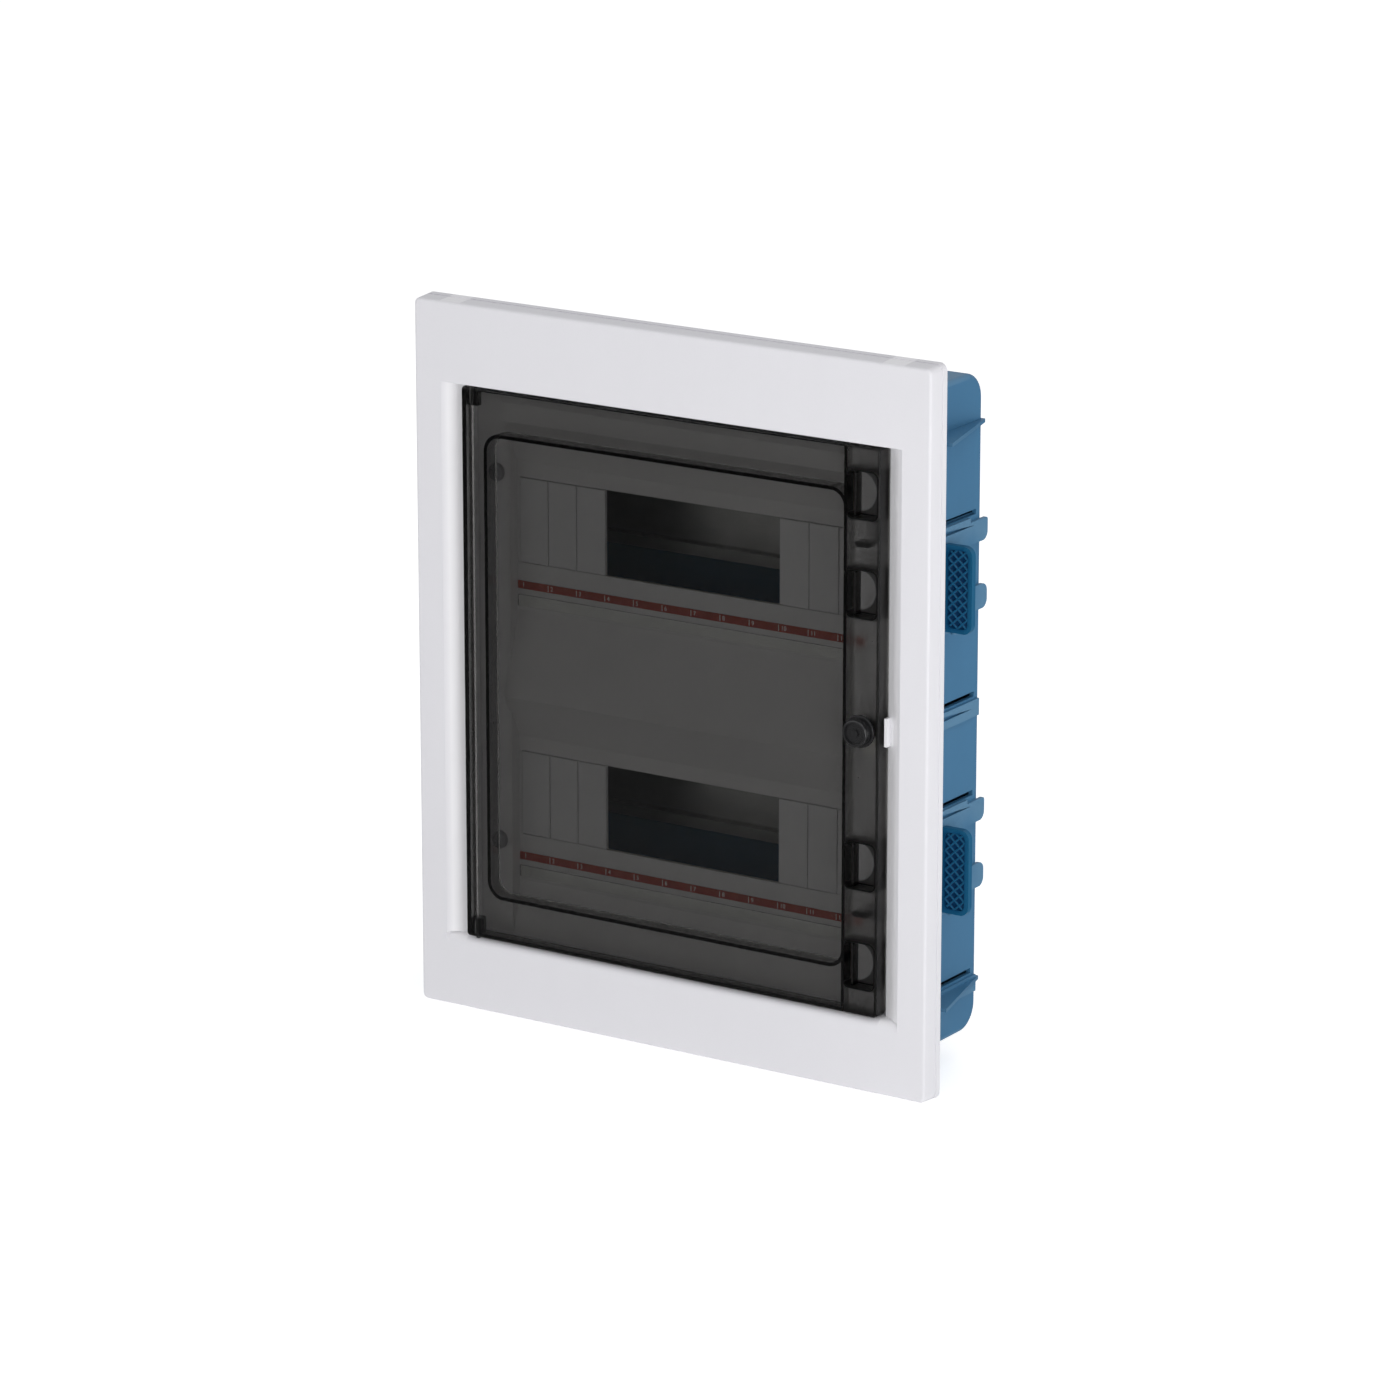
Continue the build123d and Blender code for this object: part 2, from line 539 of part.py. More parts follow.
with BuildPart() as front_frame:
    with BuildSketch(facing(-FRAME_T)):
        RectangleRounded(FRAME_W, FRAME_H, 3)
    with BuildSketch(facing(0)):
        RectangleRounded(FRAME_W + 2 * FRAME_DRAFT, FRAME_H + 2 * FRAME_DRAFT, 4)
    loft()
    fillet(front_frame.faces().sort_by(Axis.Y)[0].edges(), 1.6)

    # hollow behind the front skin, between the outer skirt and the opening
    with BuildSketch(facing(0)):
        Rectangle(FRAME_W - 2 * FRAME_SKIN, FRAME_H - 2 * FRAME_SKIN)
        with Locations((0, (OPENING_TOP + OPENING_BOTTOM) / 2)):
            Rectangle(2 * (SCOOP_X + 4.5), OPENING_TOP - OPENING_BOTTOM + 2 * (COLLAR_T + 6),
                      mode=Mode.SUBTRACT)
    extrude(amount=FRAME_T - FRAME_SKIN, mode=Mode.SUBTRACT)

    # collar that reaches back to the inner cover
    with BuildSketch(facing(-1)):
        with Locations((0, (OPENING_TOP + OPENING_BOTTOM) / 2)):
            Rectangle(2 * (OPENING_X + COLLAR_T), OPENING_TOP - OPENING_BOTTOM + 2 * COLLAR_T)
    extrude(amount=-(COLLAR_Y + 1))

    # blocks around the door's pivots
    for z in ((OPENING_TOP, OPENING_TOP + PIVOT_BOSS), (OPENING_BOTTOM, OPENING_BOTTOM - PIVOT_BOSS)):
        box_between((PIVOT_X - 7, PIVOT_X + 7), (-FRAME_T + 1, -2), z)

    # door opening
    box_between((-OPENING_X, OPENING_X), (-FRAME_T - 1, COLLAR_Y + 1),
                (OPENING_BOTTOM, OPENING_TOP), mode=Mode.SUBTRACT)

    # finger scoops down both sides of the opening
    for side in (-1, 1):
        with BuildSketch(Plane.XY.offset(OPENING_BOTTOM)):
            with BuildLine():
                top = (side * SCOOP_X, -FRAME_T)
                foot = (side * OPENING_X, -FRAME_T + SCOOP_DEPTH)
                middle = (side * (OPENING_X + 4.4), -FRAME_T + SCOOP_DEPTH - 2.3)
                lead = (side * (SCOOP_X + 3.2), -FRAME_T - 0.6)
                Spline(foot, middle, top, lead)
                Polyline(lead, (side * (SCOOP_X + 3.2), -FRAME_T - 2),
                         (side * (OPENING_X - 1), -FRAME_T - 2),
                         (side * (OPENING_X - 1), -FRAME_T + SCOOP_DEPTH), foot)
            make_face()
        extrude(amount=OPENING_TOP - OPENING_BOTTOM, mode=Mode.SUBTRACT)

    # rounded lower edge of the opening
    with BuildSketch(Plane.YZ.offset(-SCOOP_X)):
        with BuildLine():
            RadiusArc((-FRAME_T + 5, OPENING_BOTTOM), (-FRAME_T, OPENING_BOTTOM - 5), -5)
            Polyline((-FRAME_T, OPENING_BOTTOM - 5), (-FRAME_T - 1, OPENING_BOTTOM - 5),
                     (-FRAME_T - 1, OPENING_BOTTOM + 0.5), (-FRAME_T + 5, OPENING_BOTTOM + 0.5),
                     (-FRAME_T + 5, OPENING_BOTTOM))
        make_face()
    extrude(amount=2 * SCOOP_X, mode=Mode.SUBTRACT)

    # shadow groove around the outside, near the wall
    with BuildSketch(facing(-3.6)):
        Rectangle(FRAME_W + 10, FRAME_H + 10)
        RectangleRounded(FRAME_W + 0.6, FRAME_H + 0.6, 3.6, mode=Mode.SUBTRACT)
    extrude(amount=1.4, mode=Mode.SUBTRACT)

    # strike for the latch, in front of the recess that the cam turns up into from below
    box_between((OPENING_X, OPENING_X + 1.6), (-FRAME_T + 4, -4),
                (-STRIKE_HALF, STRIKE_HALF))
    box_between((OPENING_X - 0.5, OPENING_X + 5.6), (-5.3, COLLAR_Y + 1),
                (-STRIKE_HALF - 2.7, STRIKE_HALF - 1), mode=Mode.SUBTRACT)

    # snap hooks that hold the frame to the inner cover
    for side in (-1, 1):
        for z in HOOK_Z:
            box_between((side * 130.0, side * 131.8), (COLLAR_Y - 0.5, 9.4), (z - 6, z + 6))
            box_between((side * 131.6, side * 132.9), (FLANGE_Y + COVER_T + 0.15, 9.4),
                        (z - 6, z + 6))

    # pivot holes
    upright(PIVOT_X, PIVOT_Y, PIVOT_R + CLEAR, (OPENING_TOP - 1, OPENING_TOP + 6),
            mode=Mode.SUBTRACT)
    upright(PIVOT_X, PIVOT_Y, PIVOT_R + CLEAR, (OPENING_BOTTOM - 6, OPENING_BOTTOM + 1),
            mode=Mode.SUBTRACT)
save(front_frame, "front_frame")

# ---------------------------------------------------------------- door
SKIN_REAR = -FRAME_T + DOOR_SKIN
SKIRT_REAR = -FRAME_T + DOOR_DEPTH
door_mid = (DOOR_TOP + DOOR_BOTTOM) / 2
rib_mid = ((RIB_LEFT + RIB_RIGHT) / 2, (RIB_TOP + RIB_BOTTOM) / 2)
rib_size = (RIB_RIGHT - RIB_LEFT, RIB_TOP - RIB_BOTTOM)

with BuildPart() as door:
    box_between((-DOOR_X, DOOR_X), (-FRAME_T, SKIRT_REAR), (DOOR_BOTTOM, DOOR_TOP))
    fillet(door.edges().filter_by(Axis.Y), 2)
    fillet(door.faces().sort_by(Axis.Y)[0].edges(), 1.2)
    box_between((-DOOR_X + SKIRT_T, DOOR_X - SKIRT_T), (SKIN_REAR, SKIRT_REAR + 1),
                (DOOR_BOTTOM + SKIRT_T, DOOR_TOP - SKIRT_T), mode=Mode.SUBTRACT)

    # stiffening rib behind the window
    with BuildSketch(facing(SKIN_REAR - 0.2)):
        with Locations(rib_mid):
            RectangleRounded(*rib_size, 10)
            RectangleRounded(rib_size[0] - 2 * RIB_T, rib_size[1] - 2 * RIB_T, 8,
                             mode=Mode.SUBTRACT)
    extrude(amount=-(RIB_DEPTH + 0.2))

    # stile along the opening edge: its inner wall, four cups and two short bars
    box_between((RIB_RIGHT - RIB_T, RIB_RIGHT), (SKIN_REAR - 0.2, SKIRT_REAR),
                (DOOR_BOTTOM + 1, DOOR_TOP - 1))
    stile_mid = (RIB_RIGHT - RIB_T + DOOR_X) / 2
    with BuildSketch(facing(SKIN_REAR - 0.2)):
        with Locations(*[(stile_mid, z) for z in CUP_Z]):
            RectangleRounded(DOOR_X - RIB_RIGHT + RIB_T, CUP_H, 4.5)
        with Locations(*[(stile_mid, z) for z in SLOT_Z]):
            SlotOverall(9, 3)
    extrude(amount=-(SKIRT_REAR - SKIN_REAR + 0.2))
    with BuildSketch(facing(-FRAME_T)):
        with Locations(*[((CUP_X[0] + CUP_X[1]) / 2, z) for z in CUP_Z]):
            RectangleRounded(CUP_X[1] - CUP_X[0], CUP_H - 2 * CUP_WALL, 3.2)
    extrude(amount=-(DOOR_DEPTH - 1.4), mode=Mode.SUBTRACT)
    for z in CUP_Z:
        box_between(CUP_BAR, (-FRAME_T + 2.4, SKIRT_REAR - 1),
                    (z - CUP_H / 2 + 1, z + CUP_H / 2 - 1))

    # boss for the latch spindle
    rod(KNOB_X, 0, 5.5, (SKIN_REAR - 0.2, SKIRT_REAR))
    rod(KNOB_X, 0, SPINDLE_R + CLEAR, (-FRAME_T - 1, SKIRT_REAR + 1), mode=Mode.SUBTRACT)

    # pivot sockets at the two left corners
    upright(PIVOT_X, PIVOT_Y, 4, (DOOR_TOP - 10, DOOR_TOP - 1))
    upright(PIVOT_X, PIVOT_Y, 4, (DOOR_BOTTOM + 1, DOOR_BOTTOM + 10))
    upright(PIVOT_X, PIVOT_Y, PIVOT_R + CLEAR, (DOOR_TOP - 9, DOOR_TOP + 1), mode=Mode.SUBTRACT)
    upright(PIVOT_X, PIVOT_Y, PIVOT_R + CLEAR, (DOOR_BOTTOM - 1, DOOR_BOTTOM + 9),
            mode=Mode.SUBTRACT)
save(door, "door")

with BuildPart() as door_pivot_pins:
    upright(PIVOT_X, PIVOT_Y, PIVOT_R, (DOOR_TOP - 8.7, OPENING_TOP + 5.8))
    upright(PIVOT_X, PIVOT_Y, PIVOT_R, (OPENING_BOTTOM - 5.8, DOOR_BOTTOM + 8.7))
save(door_pivot_pins, "door_pivot_pins")

# ---------------------------------------------------------------- latch
KNOB_FRONT = -FRAME_T - 6.2

with BuildPart() as latch_collar:
    rod(KNOB_X, 0, KNOB_R + 1.4, (-FRAME_T - 1.4, -FRAME_T - 0.02))
    rod(KNOB_X, 0, SPINDLE_R + 1.0, (-FRAME_T - 2, -FRAME_T + 1), mode=Mode.SUBTRACT)
    fillet(latch_collar.edges().filter_by(GeomType.CIRCLE).sort_by(Axis.Y)[0], 0.3)
save(latch_collar, "latch_collar")

with BuildPart() as latch_knob:
    rod(KNOB_X, 0, KNOB_R, (KNOB_FRONT, -FRAME_T - 1.7))
    fillet(latch_knob.edges().filter_by(GeomType.CIRCLE).sort_by(Axis.Y)[0], 0.9)
    # shallow dish with a raised centre and a finger bar across it
    rod(KNOB_X, 0, KNOB_R - 1.5, (KNOB_FRONT - 1, KNOB_FRONT + 1.2), mode=Mode.SUBTRACT)
    rod(KNOB_X, 0, 2.0, (KNOB_FRONT + 0.3, KNOB_FRONT + 2))
    rod(KNOB_X, 0, SPINDLE_R, (-FRAME_T - 1.9, SKIRT_REAR + 0.2))
    box_between((KNOB_X - 2, KNOB_X + 2), (SKIRT_REAR, SKIRT_REAR + 2.4), (-2, 2))
    rod(KNOB_X, 0, 1.25, (SKIRT_REAR - 6, SKIRT_REAR + 3), mode=Mode.SUBTRACT)
save(latch_knob, "latch_knob")

# the cam hangs down while the door is free, and turns up behind the strike to lock it
with BuildPart() as latch_cam:
    cam_y = (SKIRT_REAR + 0.4, SKIRT_REAR + 2.3)
    rod(KNOB_X, 0, 5, cam_y)
    box_between((KNOB_X - 4, KNOB_X + 4), cam_y, (-CAM_REACH, 0))
    fillet(latch_cam.edges().filter_by(Axis.Y).group_by(Axis.Z)[0], 2.5)
    box_between((KNOB_X - 2.05, KNOB_X + 2.05), (cam_y[0] - 1, cam_y[1] + 1), (-2.05, 2.05),
                mode=Mode.SUBTRACT)
save(latch_cam, "latch_cam")

with BuildPart() as latch_screw:
    rod(KNOB_X, 0, 3, (SKIRT_REAR + 2.45, SKIRT_REAR + 4.2))
    rod(KNOB_X, 0, 1.2, (SKIRT_REAR - 5, SKIRT_REAR + 2.6))
    box_between((KNOB_X - 2.4, KNOB_X + 2.4), (SKIRT_REAR + 3.4, SKIRT_REAR + 4.3),
                (-0.4, 0.4), mode=Mode.SUBTRACT)
save(latch_screw, "latch_screw")
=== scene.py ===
"""Looks for the flush-mounted breaker panel box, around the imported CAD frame."""

import math

import bmesh
import bpy
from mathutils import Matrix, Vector


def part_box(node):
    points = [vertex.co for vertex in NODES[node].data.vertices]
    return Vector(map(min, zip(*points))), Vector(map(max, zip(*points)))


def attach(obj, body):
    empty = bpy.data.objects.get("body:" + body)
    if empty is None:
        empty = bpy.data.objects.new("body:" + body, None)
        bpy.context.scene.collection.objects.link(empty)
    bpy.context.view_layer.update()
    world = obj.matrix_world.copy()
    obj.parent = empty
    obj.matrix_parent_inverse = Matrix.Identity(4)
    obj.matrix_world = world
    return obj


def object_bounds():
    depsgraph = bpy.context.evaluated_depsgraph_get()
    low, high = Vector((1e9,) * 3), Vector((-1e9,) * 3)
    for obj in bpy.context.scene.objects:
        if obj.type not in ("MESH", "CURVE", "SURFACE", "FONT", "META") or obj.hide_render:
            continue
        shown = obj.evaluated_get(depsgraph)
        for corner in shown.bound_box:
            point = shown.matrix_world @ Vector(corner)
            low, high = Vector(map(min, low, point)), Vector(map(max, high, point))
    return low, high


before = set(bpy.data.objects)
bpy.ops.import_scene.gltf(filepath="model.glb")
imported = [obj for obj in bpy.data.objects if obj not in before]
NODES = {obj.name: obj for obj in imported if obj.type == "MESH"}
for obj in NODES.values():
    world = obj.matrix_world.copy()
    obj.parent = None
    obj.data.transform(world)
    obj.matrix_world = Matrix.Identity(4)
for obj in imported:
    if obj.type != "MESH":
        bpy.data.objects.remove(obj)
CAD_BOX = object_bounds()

MM = 0.001

# ---------------------------------------------------------------- camera
LENS_MM = 160.14
SENSOR_MM = 36.0
YAW = math.radians(33.146)
PITCH = math.radians(15.735)
TARGET = Vector((20.78, -14.0, 1.53)) * MM
DISTANCE = 3.217
CLIP = (0.05, 60.0)

back = Vector((math.sin(YAW) * math.cos(PITCH), -math.cos(YAW) * math.cos(PITCH),
               math.sin(PITCH)))
camera = bpy.data.objects.new("camera", bpy.data.cameras.new("camera"))
bpy.context.scene.collection.objects.link(camera)
camera.data.lens = LENS_MM
camera.data.sensor_width = SENSOR_MM
camera.data.clip_start, camera.data.clip_end = CLIP
camera.location = TARGET + back * DISTANCE
camera.rotation_mode = "QUATERNION"
camera.rotation_quaternion = (-back).to_track_quat("-Z", "Y")
bpy.context.scene.camera = camera
bpy.context.scene.view_settings.view_transform = "Standard"


# ---------------------------------------------------------------- node helpers
class Tree:
    """Short calls for building one material's nodes."""

    def __init__(self, name):
        self.material = bpy.data.materials.new(name)
        self.material.use_nodes = True
        self.nt = self.material.node_tree
        self.nt.nodes.clear()
        self.out = self.add("ShaderNodeOutputMaterial")
        self.coord = self.add("ShaderNodeTexCoord").outputs["Object"]

    def add(self, kind, **values):
        node = self.nt.nodes.new(kind)
        for key, value in values.items():
            setattr(node, key, value)
        return node

    def link(self, a, b):
        self.nt.links.new(a, b)

    def stretched(self, scale):
        mapping = self.add("ShaderNodeMapping")
        mapping.inputs["Scale"].default_value = scale
        self.link(self.coord, mapping.inputs["Vector"])
        return mapping.outputs["Vector"]

    def noise(self, scale, detail=3.0, rough=0.5, stretch=None):
        node = self.add("ShaderNodeTexNoise")
        node.inputs["Scale"].default_value = scale
        node.inputs["Detail"].default_value = detail
        node.inputs["Roughness"].default_value = rough
        self.link(self.stretched(stretch) if stretch else self.coord, node.inputs["Vector"])
        return node.outputs["Fac"]

    def cells(self, scale):
        node = self.add("ShaderNodeTexVoronoi")
        node.inputs["Scale"].default_value = scale
        self.link(self.coord, node.inputs["Vector"])
        return node.outputs["Distance"]

    def ramp(self, value, stops):
        node = self.add("ShaderNodeValToRGB")
        elements = node.color_ramp.elements
        while len(elements) < len(stops):
            elements.new(0.5)
        for element, (at, colour) in zip(elements, stops):
            element.position = at
            element.color = (*colour, 1.0)
        self.link(value, node.inputs["Fac"])
        return node.outputs["Color"]

    def span(self, value, low, high, start=0.0, end=1.0):
        node = self.add("ShaderNodeMapRange")
        node.inputs["From Min"].default_value = start
        node.inputs["From Max"].default_value = end
        node.inputs["To Min"].default_value = low
        node.inputs["To Max"].default_value = high
        self.link(value, node.inputs["Value"])
        return node.outputs["Result"]

    def math(self, operation, a, b=0.0):
        node = self.add("ShaderNodeMath", operation=operation)
        for socket, value in zip(node.inputs, (a, b)):
            if isinstance(value, (int, float)):
                socket.default_value = value
            else:
                self.link(value, socket)
        return node.outputs["Value"]

    def mix(self, factor, a, b, blend="MIX"):
        node = self.add("ShaderNodeMix", data_type="RGBA", blend_type=blend)
        for socket, value in ((node.inputs[0], factor), (node.inputs[6], a), (node.inputs[7], b)):
            if isinstance(value, (int, float)):
                socket.default_value = value
            elif isinstance(value, tuple):
                socket.default_value = (*value, 1.0)
            else:
                self.link(value, socket)
        return node.outputs[2]

    def bump(self, height, strength, distance):
        node = self.add("ShaderNodeBump")
        node.inputs["Strength"].default_value = strength
        node.inputs["Distance"].default_value = distance
        self.link(height, node.inputs["Height"])
        return node.outputs["Normal"]

    def separated(self):
        node = self.add("ShaderNodeSeparateXYZ")
        self.link(self.coord, node.inputs[0])
        return node.outputs

    def principled(self, **values):
        node = self.add("ShaderNodeBsdfPrincipled")
        for key, value in values.items():
            node.inputs[key.replace("_", " ")].default_value = value
        self.link(node.outputs["BSDF"], self.out.inputs["Surface"])
        return node


WHITE = (1.0, 1.0, 1.0)
FRONT_FADE = (-13.9 * MM, -12.0 * MM)   # the painted shade or painted light of a hollow starts between these depths
SPECK_SCALE = 2600.0
SPECK_TONE = 0.72
MOULDED_BUMP = 0.35
METAL_SCALE = 400.0
METAL_BUMP = (0.25, 0.00003)    # strength, distance
FROST = 0.26                    # extra roughness of the door's stile
SIDE_TINT = (0.30, 0.30, 0.30)
LAMP_TINT = (0.94, 0.94, 0.94, 1.0)     # share of a lamp's light that each surface lets through
CUP_Z = (123.5 * MM, 72.0 * MM, -72.0 * MM, -125.5 * MM)
CUP_MID = 118.1 * MM
CUP_HALF = (8.9 * MM, 12.15 * MM)
CUP_CORNER = 3.2 * MM
CUP_WALL = (0.5 * MM, 1.1 * MM)     # distances from a cup's outline where its painted dark line fades
CUP_OUTLINE_SHADE = 0.03
CUP_INSIDE_SHADE = 0.18
D_LEFT = 112.4 * MM             # flat side of each cup's D-shaped clear area
D_SIZE = (9.8 * MM, 10.4 * MM)  # its width and half height


def scaled(colour, factor):
    return tuple(min(1.0, c * factor) for c in colour)


def moulded(name, colour, rough, grain=1400.0, grain_depth=0.00002, spread=0.05, flow=0.0,
            level=0.5, edge=None, relief=None, hollow=None):
    """Injection-moulded plastic: a fine spark-eroded grain, slow colour drift and flow streaks.

    A relief of (top depth, bottom depth, top colour) turns lighter towards its ribs' tops, as
    painted light on the tops.
    A hollow of (inner, outer half width, half height, rear, colour) is painted that colour, as
    painted shade or painted light.
    """
    t = Tree(name)
    slow = t.noise(9.0, 2.0, 0.5)
    streak = t.noise(60.0, 3.0, 0.6, stretch=(1.0, 1.0, 0.12))
    tone = t.math("ADD", t.math("MULTIPLY", slow, 1.0 - flow), t.math("MULTIPLY", streak, flow))
    base = t.ramp(tone, [(0.25, scaled(colour, 1 - spread)), (0.75, scaled(colour, 1 + spread))])
    speck = t.noise(SPECK_SCALE, 1.0, 0.5)
    base = t.mix(t.span(speck, 0.0, 0.10, 0.55, 0.8), base, scaled(colour, SPECK_TONE))
    # painted shade or painted light: a hollow's surfaces take one flat colour
    if hollow:
        inner, outer, half_height, rear, painted_hollow_colour = hollow
        place = t.separated()
        beside = t.math("ABSOLUTE", place["X"])
        above = t.math("ABSOLUTE", place["Z"])
        band = t.span(beside, 0.0, 1.0, inner - MM, inner)
        for limit in (t.span(beside, 1.0, 0.0, outer, outer + MM),
                      t.span(above, 1.0, 0.0, half_height, half_height + MM),
                      t.span(place["Y"], 0.0, 1.0, *FRONT_FADE),
                      t.span(place["Y"], 1.0, 0.0, rear, rear + MM)):
            band = t.math("MULTIPLY", band, limit)
        base = t.mix(band, base, painted_hollow_colour)
    # painted light on the ribs' tops, painted shade towards the floor between them
    if relief:
        top, bottom, lit_top_colour = relief
        base = t.mix(t.span(t.separated()["Y"], 1.0, 0.0, top, bottom), base, lit_top_colour)
    # lighter colour on sharp convex edges
    if edge:
        sharpness = t.add("ShaderNodeNewGeometry").outputs["Pointiness"]
        base = t.mix(t.span(sharpness, 0.0, 0.55, 0.52, 0.60), base, edge)
    p = t.principled(Specular_IOR_Level=level)
    t.link(base, p.inputs["Base Color"])
    smear = t.noise(35.0, 4.0, 0.6)
    t.link(t.span(smear, rough - 0.06, rough + 0.07, 0.3, 0.7), p.inputs["Roughness"])
    pits = t.cells(grain)
    rough_grain = t.noise(grain * 0.7, 2.0, 0.6)
    height = t.math("ADD", t.math("MULTIPLY", pits, 0.5), rough_grain)
    t.link(t.bump(height, MOULDED_BUMP, grain_depth), p.inputs["Normal"])
    return t.material


def metal(name, colour, rough, brushed=(1.0, 1.0, 1.0), spread=0.12):
    """Plated or drawn metal with fine scratches along one axis and slight staining."""
    t = Tree(name)
    stain = t.noise(45.0, 4.0, 0.6)
    scratch = t.noise(METAL_SCALE, 4.0, 0.7, stretch=brushed)
    base = t.ramp(stain, [(0.3, scaled(colour, 1 - spread)),
                          (0.7, scaled(colour, 1 + spread * 0.6))])
    p = t.principled(Metallic=1.0)
    t.link(base, p.inputs["Base Color"])
    t.link(t.span(scratch, rough - 0.08, rough + 0.12, 0.3, 0.7), p.inputs["Roughness"])
    t.link(t.bump(scratch, *METAL_BUMP), p.inputs["Normal"])
    return t.material


def cup_shade(t, x, z):
    """Painted shade for the door's cups: dark on their walls, clear in a D-shaped area of each.
    """

    def off(value, centre):
        return t.math("ABSOLUTE", t.math("SUBTRACT", value, centre))

    def squares(a, b):
        return t.math("ADD", t.math("MULTIPLY", a, a), t.math("MULTIPLY", b, b))

    near = off(z, CUP_Z[0])
    for centre in CUP_Z[1:]:
        near = t.math("MINIMUM", near, off(z, centre))
    # signed distance to the rounded outline, below 0 inside a cup
    qx = t.math("SUBTRACT", off(x, CUP_MID), CUP_HALF[0] - CUP_CORNER)
    qz = t.math("SUBTRACT", near, CUP_HALF[1] - CUP_CORNER)
    corner = t.math("SQRT", squares(t.math("MAXIMUM", qx, 0.0), t.math("MAXIMUM", qz, 0.0)))
    inner = t.math("MINIMUM", t.math("MAXIMUM", qx, qz), 0.0)
    edge = t.math("SUBTRACT", t.math("ADD", corner, inner), CUP_CORNER)
    wall = t.span(t.math("ABSOLUTE", edge), CUP_OUTLINE_SHADE, 1.0, *CUP_WALL)
    # the D, flat on its left
    dx = t.math("DIVIDE", t.math("SUBTRACT", x, D_LEFT), D_SIZE[0])
    dz = t.math("DIVIDE", near, D_SIZE[1])
    lit = t.math("MULTIPLY", t.span(squares(dx, dz), 1.0, 0.0, 0.9, 1.05),
                 t.span(dx, 0.0, 1.0, -0.03, 0.03))
    inside = t.span(edge, 1.0, 0.0, -0.2 * MM, 0.2 * MM)
    dim = t.math("MULTIPLY", inside, t.math("SUBTRACT", 1.0, lit))
    return t.math("MULTIPLY", wall, t.span(dim, 1.0, CUP_INSIDE_SHADE))


def clear_plastic(name, tint, density, rough, ior, frosted_from=None, side_from=None):
    """Clear moulded plastic with its colour in the depth, and light let through for the lamps.

    It is frosted to the right of one plane, and darker on the side face past the other.
    """
    t = Tree(name)
    p = t.principled(Base_Color=(*WHITE, 1.0), Transmission_Weight=1.0, IOR=ior)
    smear = t.noise(30.0, 4.0, 0.6)
    gloss = t.span(smear, rough * 0.6, rough * 1.6, 0.3, 0.7)
    if frosted_from:
        place = t.separated()
        x = place["X"]
        haze = t.span(x, 0.0, FROST, frosted_from, frosted_from + 0.5 * MM)
        gloss = t.math("ADD", gloss, haze)
        shade = t.span(x, 0.0, 1.0, side_from, side_from + 0.1 * MM)
        clear_tone = t.mix(shade, WHITE, SIDE_TINT)
        # painted shade of the door's cups, multiplied into the clear colour
        cup = t.add("ShaderNodeCombineColor")
        tone = cup_shade(t, x, place["Z"])
        for channel in ("Red", "Green", "Blue"):
            t.link(tone, cup.inputs[channel])
        t.link(t.mix(1.0, clear_tone, cup.outputs[0], "MULTIPLY"), p.inputs["Base Color"])
    t.link(gloss, p.inputs["Roughness"])
    ripple = t.noise(22.0, 2.0, 0.4)
    t.link(t.bump(ripple, 0.10, 0.0002), p.inputs["Normal"])
    clear = t.add("ShaderNodeBsdfTransparent")
    clear.inputs["Color"].default_value = LAMP_TINT
    lamp = t.add("ShaderNodeLightPath").outputs["Is Shadow Ray"]
    mix = t.add("ShaderNodeMixShader")
    t.link(lamp, mix.inputs[0])
    t.link(p.outputs["BSDF"], mix.inputs[1])
    t.link(clear.outputs["BSDF"], mix.inputs[2])
    t.link(mix.outputs["Shader"], t.out.inputs["Surface"])
    inside = t.add("ShaderNodeVolumeAbsorption")
    inside.inputs["Color"].default_value = (*tint, 1.0)
    inside.inputs["Density"].default_value = density
    t.link(inside.outputs["Volume"], t.out.inputs["Volume"])
    return t.material


